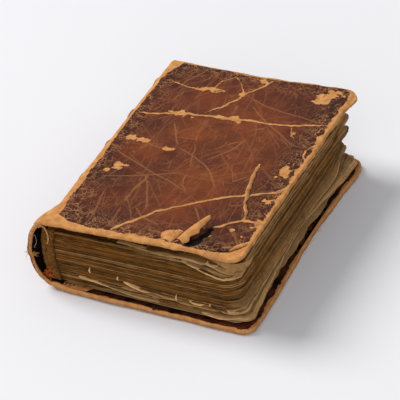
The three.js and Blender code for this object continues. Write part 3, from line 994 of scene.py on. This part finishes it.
def leaf_shades(level, x, y, torn, rng):
    """How pale and how dark a leaf is: most are alike, the torn ones vary. The dark is partly painted shade: between
    leaves, by the fold at the bottom and under the front cover at the top.
    """
    pale = 0.02 + 0.09 * rng.random() + torn * 0.8 * rng.random() ** 1.8
    pale = pale + 0.35 * (rng.random() < 0.06)
    pale = pale + 0.35 * smooth((0.1 - level) / 0.07) * smooth((x - 60) / 30)
    near_fore = 0.1 + 0.3 * smooth((0.5 - level) / 0.5)
    pale = pale + near_fore * smooth((x - 82) / 4) * (0.4 + 0.6 * rng.random())
    pale = pale + 0.25 * smooth((y - 128) / 10) * smooth((x - 76) / 6) * rng.random()
    # Darker leaves at random, partly standing in for shade in the gaps between them.
    tone_and_shade = 0.45 * rng.random() ** 2 + 0.35 * max(0.0, float(noise(level * SECTIONS * 1.4, 7, 0, 251)))
    # Painted shade: dark near the fold at the bottom, and under the front cover at the top by the tail.
    tone_and_shade = tone_and_shade + 0.5 * smooth((9 - x) / 12) * smooth((0.35 - level) / 0.3)
    tone_and_shade = tone_and_shade + 0.5 * smooth((level - 0.9) / 0.06) * smooth((72 - x) / 26) * smooth((30 - y) / 20)
    return np.clip(pale, 0, 1), np.clip(tone_and_shade, 0, 0.85)


def section_piece(number):
    """A sewn section: its leaves, joined at the fold."""
    rng = np.random.default_rng(300 + number)
    parts, pale, tone_and_shade = [], [], []
    for k in range(LEAVES):
        points, faces, light, dark = leaf((number - 1 + (k + 0.5) / LEAVES) / SECTIONS, rng)
        parts.append((points, faces))
        pale.append(light)
        tone_and_shade.append(dark)
    fold = fold_strip_points((number - 0.5) / SECTIONS, 0.72 / SECTIONS)
    pale.append(np.full(len(fold[0]), 0.05))
    tone_and_shade.append(np.full(len(fold[0]), 0.3))
    points, faces = joined(parts + [fold])
    fields = {"pale": np.concatenate(pale), "tone_and_shade": np.concatenate(tone_and_shade)}
    piece = mesh_piece(f"leaves_{number:02d}", points, faces, PAPER, fields)
    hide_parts(f"section_{number:02d}")
    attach(piece, "lower_block" if number <= SECTIONS // 2 else "upper_block")


def fold_strip_points(middle, reach):
    """The rounded back of a section, where its leaves are folded and sewn."""
    angles = np.linspace(-math.pi / 2, math.pi / 2, 7)
    ys = np.linspace(SQUARE + 0.4, COVER_HEIGHT - SQUARE - 0.4, 30)
    a, y = np.meshgrid(angles, ys)
    level = middle + reach / 2 * np.sin(a)
    outer_x = fold_place(middle) + 0.65 - 0.7 * np.cos(a)
    upper = np.stack([outer_x, y, sheet_height(outer_x, level)], -1)
    inner_x = outer_x + 1.6
    lower = np.stack([inner_x, y, sheet_height(inner_x, level * 0.7 + middle * 0.3)], -1)
    points, faces = slab(len(ys), len(angles), upper, lower)
    return points, outward(points, faces)


for number in range(1, SECTIONS + 1):
    section_piece(number)


END_LEAF_THICK = 0.14


def end_leaf(side):
    """A free flyleaf, or the sheet pasted inside a cover."""
    rng = np.random.default_rng(41 if side == "front" else 43)
    for kind, depth, x0, x1, margin, radius in (
        ("flyleaf", 3.6, 1.2, 91.0 + (1.6 if side == "front" else 0), SQUARE, 6.0),
        ("pastedown", 3.17, 2.2, COVER_WIDTH - 6.0, 6.0, 3.0),
    ):
        start = x0 + (3.0 if side == "back" else 0.0)
        s, y = leaf_plan(start, x1, margin, COVER_HEIGHT - margin, radius, 70, 100, 1.3)
        seed = int(rng.integers(1, 999))
        torn = smooth((s - x1 + 6) / 6) * np.clip(fbm(0, y, 0, 11, seed), -0.2, 1) * 1.2
        s = s - torn
        wave = (0.1 if kind == "flyleaf" else 0.02) * fbm(s, y, 0, 26, seed + 3) + corner_sag(side, s, y)
        upper = cover_place(side, s, y, -depth + END_LEAF_THICK / 2 + wave)
        lower = cover_place(side, s, y, -depth - END_LEAF_THICK / 2 + wave)
        points, faces = slab(100, 70, upper, lower)
        pale = 0.25 + 0.35 * smooth(0.5 + 0.5 * fbm(s, y, 0, 24, seed + 7))
        piece = mesh_piece(f"{side}_{kind}_sheet", points, outward(points, faces), ENDPAPER,
                           {"pale": np.tile(pale.ravel(), 2)})
        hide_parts(f"{side}_{kind}")
        if kind == "flyleaf" and side == "front":
            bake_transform(piece)
        else:
            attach(piece, f"{side}_flyleaf" if kind == "flyleaf" else f"{side}_cover")


end_leaf("front")
end_leaf("back")


# ---------------------------------------------------------------- spine


def across_middle(piece):
    """The piece is one on both sides of the middle opening; its place is baked into its points."""
    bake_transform(piece)


def band_rise(y, width=3.1, height=1.2):
    rise = 0.0
    for place in BAND_PLACES:
        d = np.clip(np.abs(y - place) / width, 0, 1)
        rise = np.maximum(rise, height * (0.5 + 0.5 * np.cos(math.pi * d)))
    return rise


SPINE_PROFILE_MID = (
    (2.2, 0.6), (-2.1, 1.9), (-6.1, 4.9), (-8.7, 10.6), (-9.7, 17.9),
    (-8.8, 24.0), (-7.2, 29.6), (-5.5, 33.2), (-4.4, 34.8),
)


def spine_at(u, y):
    """The spine's outer face at share u of its profile: rolled outwards at the tail."""
    share = flare(y)[..., None]
    tail = spline(SPINE_PROFILE, u.ravel()).reshape(u.shape + (2,))
    middle = spline(SPINE_PROFILE_MID, u.ravel()).reshape(u.shape + (2,))
    return tail * share + middle * (1 - share)


SPINE_GRID = 0.55


def near_ends(y, y0, y1, reach):
    """1 at the ends y0 and y1 of a sheet, and 0 from `reach` inwards."""
    return np.maximum(smooth(1 - (y - y0) / reach), smooth(1 - (y1 - y) / reach))


def profile_sheet(name, depth, thick, u0, u1, y0, y1, material, rise, wobble, seed):
    """A sheet that follows the spine's profile, at a depth under its outer face."""
    columns = max(12, int(48 * (u1 - u0) / SPINE_GRID))
    rows = int((y1 - y0) / SPINE_GRID)
    u, y = np.meshgrid(np.linspace(u0, u1, columns), np.linspace(y0, y1, rows))
    at = spine_at(u, y)
    along = spine_at(np.clip(u + 0.01, 0, 1), y) - spine_at(np.clip(u - 0.01, 0, 1), y)
    along /= np.linalg.norm(along, axis=-1)[..., None]
    out = np.stack([-along[..., 1], along[..., 0]], -1)
    taper = smooth((u - u0) / 0.12) * smooth((u1 - u) / 0.12)
    end = near_ends(y, y0, y1, 3)
    lift = rise * band_rise(y) * taper + wobble * fbm(u * 45, y, 0, 7, seed)
    fray = wobble * 2.6 * end * fbm(u * 45, 0, 0, 4, seed + 3)
    y = y + np.sign(y - (y0 + y1) / 2) * fray
    surfaces = []
    for d in (0.0, 1.0):
        p = at + out * (lift - depth - d * thick * (1 + 0.6 * end))[..., None]
        surfaces.append(np.stack([p[..., 0], y, p[..., 1]], -1))
    points, faces = slab(rows, columns, *surfaces)
    bands = band_rise(y) / 1.2 * taper
    sides = np.maximum(1 - (u - u0) / 0.1, 1 - (u1 - u) / 0.1)
    wear = np.clip(0.9 * bands + 2.0 * end + 0.9 * sides - 0.75, -1, 1)
    # Painted shade: the inner face is near black, except near the ends.
    inside = 0.95 * (1 - near_ends(y, y0, y1, 1.2))
    fields = {
        "wear": np.concatenate([wear.ravel(), (2.4 * end - 0.9).ravel()]),
        "tone_and_shade": np.concatenate([np.zeros(wear.size), inside.ravel()]),
    }
    return mesh_piece(name, points, outward(points, faces), material, fields)


leather_back = profile_sheet("spine_leather", 0.15, 1.25, 0.03, 0.985, 0.4, COVER_HEIGHT + 0.2, SPINE, 0.55, 0.16, 401)
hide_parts("spine_leather_lower", "spine_leather_upper")
across_middle(leather_back)

inlay = profile_sheet("spine_inlay", 1.45, 0.6, 0.28, 0.72, 14.0, COVER_HEIGHT - 12.0, BOARD, 0.0, 0.08, 431)
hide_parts("spine_inlay_lower", "spine_inlay_upper")
across_middle(inlay)


def fold_sheet(name, near, far, y0, y1, low, high, material, ridges=0.0, seed=0, columns=60, rows=8):
    """A strip over the folds, between two distances from them, in place of the node's two halves."""
    level, y = np.meshgrid(np.linspace(low, high, columns), np.linspace(y0, y1, rows))
    bulk = ridges * np.abs(np.sin(level * SECTIONS * math.pi)) + 0.2 * fbm(level * 28, y, 0, 3.5, seed)
    at_end = smooth(np.abs(2 * (y - y0) / (y1 - y0) - 1) * 8 - 7)
    rough_end = 0.5 * fbm(level * 28, 0, 0, 2.5, seed + 4) * np.sign(y - (y0 + y1) / 2) * at_end
    surfaces = []
    for d in (far, near):
        x = fold_place(level) - d - (bulk if d == far else 0)
        surfaces.append(np.stack([x, y + rough_end, sheet_height(x, level)], -1))
    points, faces = slab(rows, columns, *surfaces)
    piece = mesh_piece(name, points, outward(points, faces), material)
    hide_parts(f"{name}_lower", f"{name}_upper")
    across_middle(piece)


fold_sheet("spine_lining", 1.95, 2.75, 3.0, COVER_HEIGHT - 3.0, 0.03, 0.97, LINING,
           ridges=0.15, seed=441, rows=177)
for index, place in enumerate(BAND_PLACES):
    fold_sheet(f"sewing_cord_{index + 1}", 0.35, 1.5, place - 1.0, place + 1.0, 0.04, 0.96, CORD,
               seed=451 + index)
fold_sheet("tail_band", -3.4, 1.9, 1.7, 3.4, 0.04, 0.96, LINING, ridges=0.3, seed=461, columns=90)
fold_sheet("head_band", -1.6, 1.2, COVER_HEIGHT - 3.3, COVER_HEIGHT - 1.8, 0.04, 0.96, ENDBAND,
           ridges=0.4, seed=471, columns=90)


def board_piece(side):
    """The card inside a cover."""
    s, y = leaf_plan(5.5, COVER_WIDTH - 3.0, 2.2, COVER_HEIGHT - 4.2, 5.0, 24, 36, 1.6)
    sag = corner_sag(side, s, y)
    upper = cover_place(side, s, y, sag - 0.95)
    lower = cover_place(side, s, y, sag - 1.9)
    points, faces = slab(36, 24, upper, lower)
    piece = mesh_piece(f"{side}_card", points, outward(points, faces), BOARD)
    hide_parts(f"{side}_board")
    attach(piece, f"{side}_cover")


board_piece("front")
board_piece("back")


# ---------------------------------------------------------------- torn and loose pieces

def on_front(points):
    """Front cover local (s, y, h) points in book coordinates."""
    p = np.asarray(points, float)
    return cover_place("front", p[..., 0], p[..., 1], p[..., 2])


def sheet_between(left, right, arch, columns, rows, thick, place, seed, crumple=0.12):
    """A thin curled sheet between two edge curves; `arch` lifts its middle."""
    u = np.linspace(0, 1, rows)
    t = np.linspace(0, 1, columns)
    a, b = spline(left, u)[:, None, :], spline(right, u)[:, None, :]
    share = t[None, :, None]
    p = a * (1 - share) + b * share
    lift = arch * np.sin(math.pi * np.clip(0.1 + 0.9 * t, 0, 1))[None, :] * (0.75 + 0.25 * np.cos(3 * u)[:, None])
    rough = crumple * fbm(p[..., 0], p[..., 1], p[..., 2], 2.2, seed)
    upper = p.copy()
    upper[..., 2] += lift + rough
    lower = upper.copy()
    lower[..., 2] -= thick
    return slab(rows, columns, place(upper), place(lower))


FLAP_LEFT = (
    (63.0, 5.0, 0.2), (64.4, 8.6, 1.0), (66.0, 12.0, 1.8), (67.9, 15.8, 2.6), (69.9, 19.4, 3.3),
    (71.6, 22.6, 3.5),
)
FLAP_RIGHT = (
    (66.8, 2.9, 0.3), (69.0, 4.8, 0.9), (68.6, 7.2, 1.4), (70.0, 9.0, 1.8), (71.5, 10.8, 2.1),
    (71.0, 13.6, 2.3), (72.0, 16.4, 2.5), (72.2, 18.6, 2.8), (72.9, 21.8, 3.1),
)
# (left edge, right edge, arch)
LUMP = (
    (((56.6, 3.4, 0.2), (58.2, 7.2, 0.9), (60.6, 11.0, 0.7)),
     ((61.0, 2.6, 0.1), (63.0, 5.4, 0.8), (64.0, 9.4, 0.6)), 0.9),
    (((59.8, 5.6, 0.9), (60.6, 8.6, 1.4), (61.6, 11.4, 0.8)),
     ((62.6, 4.6, 0.6), (63.8, 7.4, 1.2), (64.2, 10.6, 0.6)), 0.8),
)
DRAPE_TOP = (
    (70.0, 1.6, 37.3), (75.0, 1.4, 37.3), (80.0, 1.5, 36.8), (85.0, 1.8, 36.6), (89.0, 3.2, 36.9),
    (91.8, 6.6, 37.6), (92.2, 13.0, 38.2),
)
DRAPE_FOOT = (
    (70.0, 2.6, 36.8), (76.5, 1.0, 36.4), (81.0, 0.7, 34.9), (85.2, 1.0, 33.5), (89.4, 2.2, 33.9),
    (92.4, 5.0, 35.9), (92.0, 12.0, 37.4),
)


def as_it_is(points):
    return points


def loose_leather(name, points, faces):
    """Rubbed leather on the front cover, without any other marks."""
    zero = np.zeros(len(points))
    fields = {"wear": zero + 0.9, "glow": zero, "crackle": zero, "scratch": zero, "groove_shade": zero}
    loose_piece(name, points, faces, LEATHER, "cover_leather", "front_cover", fields)


def leather_flap():
    """The torn tongue of leather, curled up from the tail edge of the front cover."""
    points, faces = sheet_between(FLAP_LEFT, FLAP_RIGHT, 1.25, 22, 44, 0.55, on_front, 501)
    loose_leather("torn_flap", points, outward(points, faces))


def leather_lump():
    """The rumpled leather beside the flap."""
    parts = []
    for k, (left, right, arch) in enumerate(LUMP):
        points, faces = sheet_between(left, right, arch, 16, 24, 0.5, on_front, 511 + k, 0.4)
        parts.append((points, outward(points, faces)))
    loose_leather("rumpled_lump", *joined(parts))


def corner_drape():
    """Greyed paper that hangs from the drooping near corner of the front cover."""
    points, faces = sheet_between(DRAPE_TOP, DRAPE_FOOT, 0.0, 14, 50, 0.3, as_it_is, 521, 0.18)
    loose_piece("worn_corner_drape", points, outward(points, faces), DRAPE, "endpaper", "front_cover")


SCRAPS = (
    # (body, pale, how far it runs back, how much it rises there, edge curve at the tail)
    ("upper_block", 0.85, 8.0, 2.4, (
        (61.0, 2.7, 30.6), (67.5, 2.4, 28.7), (73.8, 2.2, 26.9), (80.4, 2.0, 26.1), (85.0, 2.4, 27.2),
        (89.2, 3.6, 29.4))),
    ("upper_block", 0.55, 7.0, 1.8, (
        (72.5, 2.8, 31.9), (76.0, 2.5, 31.2), (80.0, 2.4, 29.9), (84.6, 2.8, 29.6), (87.6, 4.2, 30.6))),
    ("upper_block", 1.0, 2.2, 0.4, ((72.6, 2.3, 32.9), (74.2, 2.1, 32.0), (76.2, 2.1, 32.0), (78.4, 2.4, 32.6))),
    ("upper_block", 0.5, 3.0, 0.3, ((30.0, 2.9, 32.6), (40.0, 2.6, 32.2), (50.0, 2.7, 31.4), (58.0, 3.0, 30.4))),
    ("lower_block", 0.9, 4.0, 0.2, (
        (11.0, 2.8, 8.9), (15.4, 2.3, 8.4), (20.0, 2.2, 8.1), (25.0, 2.4, 7.2), (30.0, 2.9, 6.2))),
    ("lower_block", 1.0, 3.0, 0.5, ((33.0, 2.8, 11.6), (36.4, 2.2, 10.6), (41.4, 2.1, 9.5), (45.6, 2.8, 9.0))),
    ("lower_block", 1.0, 2.4, 0.4, ((64.6, 2.8, 9.9), (67.4, 2.1, 9.2), (70.2, 2.2, 9.3), (71.6, 2.9, 9.8))),
    ("lower_block", 0.95, 2.0, 0.3, ((82.8, 2.9, 9.4), (84.2, 2.5, 8.9), (86.0, 2.7, 9.3))),
    ("lower_block", 0.9, 5.0, 0.5, (
        (70.6, 3.0, 5.0), (75.0, 2.6, 4.5), (79.2, 2.5, 4.3), (84.0, 3.0, 4.9), (88.0, 4.0, 6.0))),
    ("lower_block", 0.7, 4.0, 0.3, ((30.0, 3.2, 5.8), (36.0, 2.8, 5.2), (43.0, 2.7, 4.9), (50.0, 3.1, 4.8))),
    ("lower_block", 0.8, 3.0, 0.3, ((48.0, 3.0, 9.4), (53.0, 2.7, 8.5), (58.0, 2.9, 8.4))),
)
# Upright slivers: (x, low, high)
SLIVERS = ((16.7, 12.3, 15.4), (30.3, 11.9, 14.2), (58.6, 8.6, 12.0), (74.8, 9.6, 11.4))


def loose_paper(name, points, faces, pale, body):
    fields = {"pale": np.full(len(points), pale), "tone_and_shade": np.zeros(len(points))}
    loose_piece(name, points, outward(points, faces), PAPER, "page_paper", body, fields)


def scraps():
    """Curled and torn pieces of leaves at the tail, with a few upright slivers."""
    for index, (body, pale, reach, rise, edge) in enumerate(SCRAPS):
        front = np.array(edge, float)
        back = front + np.array([0.4, reach, rise])
        points, faces = sheet_between(front, back, 0.15, 12, 30, 0.12, as_it_is, 541 + index, 0.16)
        loose_paper(f"torn_leaf_{index + 1:02d}", points, faces, pale, body)
    for index, (x, low, high) in enumerate(SLIVERS):
        left = ((x - 0.4, 2.9, low), (x - 0.5, 2.3, (low + high) / 2), (x - 0.1, 2.6, high))
        right = ((x + 0.5, 2.8, low), (x + 0.4, 2.2, (low + high) / 2), (x + 0.2, 2.7, high))
        points, faces = sheet_between(left, right, 0.05, 5, 12, 0.12, as_it_is, 561 + index, 0.05)
        loose_paper(f"leaf_sliver_{index + 1}", points, faces, 0.85, "lower_block")


CURLED_STRIP = (
    (-7.4, 1.1, 32.0), (-5.4, 0.9, 33.1), (-3.9, 0.8, 32.2), (-3.0, 0.8, 30.0), (-2.5, 0.9, 27.2),
    (-3.1, 1.0, 24.2),
)
GREY_PATHS = (
    ((-10.4, 1.0, 25.6), (-9.4, 0.8, 27.4), (-8.9, 1.0, 26.6), (-8.4, 0.9, 23.4), (-9.9, 1.1, 20.4)),
    ((-8.9, 1.2, 22.4), (-9.3, 0.8, 21.0), (-9.0, 1.0, 20.4)),
)
THREAD_STEPS = np.linspace(0, 1, 26)


def thread_piece(name, paths, radius, sides, taper, material, body):
    tubes = [tube(path, radius, sides, taper) for path in paths]
    loose_piece(name, *joined(tubes), material, "endband", body)


def wandering(rng, start, spread):
    """A thread that wanders off from its start in three random steps."""
    step = rng.normal(0, 1, (3, 3)) * spread
    return spline(np.vstack([start, start + np.cumsum(step, 0)]), THREAD_STEPS)


def threads():
    """Loose threads at the tail of the spine, and the tuft where the sewing has frayed."""
    strip = spline(CURLED_STRIP, THREAD_STEPS)
    thread_piece("curled_strip", [strip], 0.42, 8, 0.7, THREAD, "upper_block")
    grey = [spline(path, THREAD_STEPS) for path in GREY_PATHS]
    thread_piece("grey_threads", grey, 0.13, 6, 0.6, GREY_THREAD, "upper_block")
    rng = np.random.default_rng(91)
    frayed = [spline(((-12.4, 0.6, 17.4), (-13.1, 0.3, 15.8), (-13.5, 0.2, 13.4)), THREAD_STEPS)]
    for _ in range(34):
        start = np.array([-12.3 + 3.2 * rng.random(), 0.5, 17.2 + 0.5 * rng.normal()])
        frayed.append(wandering(rng, start, (0.7, 0.35, 0.6)))
    thread_piece("frayed_spine_threads", frayed, 0.1, 5, 0.4, THREAD, "lower_block")
    tuft = []
    for _ in range(60):
        start = np.array([-3.0, 2.0, 6.8]) + rng.normal(0, 1, 3) * (0.9, 0.35, 1.0)
        tuft.append(wandering(rng, start, (0.6, 0.4, 0.7)))
    thread_piece("orange_tuft", tuft, 0.15, 5, 0.5, TUFT, "lower_block")


def edge_fibres(side):
    """Short fibres that stand out from the rubbed rim of a cover."""
    rng = np.random.default_rng(95 if side == "front" else 97)
    fore = COVER_WIDTH - (1.6 if side == "back" else 0.1)
    head = COVER_HEIGHT - 0.1 - 2.2 * (side == "front")
    parts = []
    for _ in range(190):
        edge = rng.random()
        if edge < 0.45:
            s, y, out = rng.uniform(2, 90), 0.1, np.array([0.0, -1.0])
        elif edge < 0.85:
            s, y, out = fore, rng.uniform(8, 140), np.array([1.0, 0.0])
        else:
            s, y, out = rng.uniform(6, 88), head, np.array([0.0, 1.0])
        start = np.array([s, y, rng.uniform(-2.2, -0.2)])
        lean = np.array([*(out * rng.uniform(0.1, 0.8) + rng.normal(0, 0.5, 2)), rng.normal(0, 0.35)])
        path = np.array([start, start + lean * 0.5, start + lean + rng.normal(0, 0.15, 3)])
        points, faces = tube(spline(path, np.linspace(0, 1, 6)), 0.07, 4, 0.4)
        parts.append((cover_place(side, points[:, 0], points[:, 1], np.minimum(points[:, 2], 0.1)), faces))
    loose_piece(f"{side}_edge_fibres", *joined(parts), THREAD, "cover_leather", f"{side}_cover")


def tail_shreds():
    """Torn strips of leather over the back cover's turn-in, by the spine."""
    rng = np.random.default_rng(99)
    parts = []
    for _ in range(30):
        start = np.array([rng.uniform(3.6, 15.0), 0.8, 3.0])
        middle = start + np.array([rng.normal(0.8, 1.0), rng.uniform(1.0, 2.0), rng.uniform(0.1, 0.5)])
        end = middle + np.array([rng.normal(0.8, 1.2), rng.uniform(0.6, 2.2), rng.uniform(-0.3, 0.2)])
        left = np.array([start, middle, end])
        wide = rng.uniform(0.7, 1.8)
        right = left + np.array([[wide, 0, 0], [wide * 0.7, 0, 0.1], [wide * 0.2, 0, 0]])
        seed = int(rng.integers(1, 999))
        points, faces = sheet_between(left, right, 0.15, 6, 14, 0.2, as_it_is, seed, 0.15)
        parts.append((points, outward(points, faces)))
    points, faces = joined(parts)
    fields = {"wear": np.full(len(points), 0.6)}
    loose_piece("turn_in_shreds", points, faces, TURN_IN, "cover_leather", "back_cover", fields)


leather_flap()
leather_lump()
corner_drape()
scraps()
threads()
edge_fibres("front")
edge_fibres("back")
tail_shreds()


# ---------------------------------------------------------------- floor, light and camera

CAMERA_TURN = math.radians(22.29)
CAMERA_HEIGHT = math.radians(34.32)
CAMERA_DISTANCE = 1.494
CAMERA_LENS = 292.1
AIM = Vector(book(41.8, 71.3, 15.0))


def add_camera():
    data = bpy.data.cameras.new("camera")
    data.lens = CAMERA_LENS
    data.sensor_width = 36
    data.clip_end = 20
    camera = bpy.data.objects.new("camera", data)
    back = Vector((
        math.sin(CAMERA_TURN) * math.cos(CAMERA_HEIGHT),
        -math.cos(CAMERA_TURN) * math.cos(CAMERA_HEIGHT),
        math.sin(CAMERA_HEIGHT),
    ))
    camera.location = AIM + back * CAMERA_DISTANCE
    camera.rotation_euler = back.to_track_quat("Z", "Y").to_euler()
    bpy.context.scene.collection.objects.link(camera)
    bpy.context.scene.camera = camera


def add_area(name, where, size, power, colour):
    data = bpy.data.lights.new(name, "AREA")
    data.shape = "DISK"
    data.size = size
    data.energy = power
    data.color = colour
    light = bpy.data.objects.new(name, data)
    light.location = where
    light.rotation_euler = (Vector(where) - AIM).to_track_quat("Z", "Y").to_euler()
    bpy.context.scene.collection.objects.link(light)


def add_stage():
    n = Nodes("pale_floor")
    cloud = n.noise(400, 2)
    colour = n.mix(cloud, (0.66, 0.66, 0.68), (0.68, 0.68, 0.70))
    n.finish(colour, 0.9, None, 0.1)
    mesh = bpy.data.meshes.new("floor")
    size = 6.0
    z = float(back_low.z) - 0.0002
    corners = [(-size, -size, z), (size, -size, z), (size, size, z), (-size, size, z)]
    mesh.from_pydata(corners, [], [(0, 1, 2, 3)])
    mesh.materials.append(n.material)
    floor = bpy.data.objects.new("floor", mesh)
    bpy.context.scene.collection.objects.link(floor)
    world = bpy.data.worlds.new("studio")
    world.use_nodes = True
    background = world.node_tree.nodes["Background"]
    background.inputs["Color"].default_value = (0.96, 0.97, 1.0, 1)
    background.inputs["Strength"].default_value = 0.5
    bpy.context.scene.world = world
    add_area("key", (-3.15, 0.17, 3.22), 2.5, 216, (1.0, 0.99, 0.98))
    add_area("fill", (0.63, -2.35, 1.44), 2.4, 26, (1.0, 0.995, 0.99))


add_camera()
add_stage()
bpy.context.scene.view_settings.view_transform = "Standard"
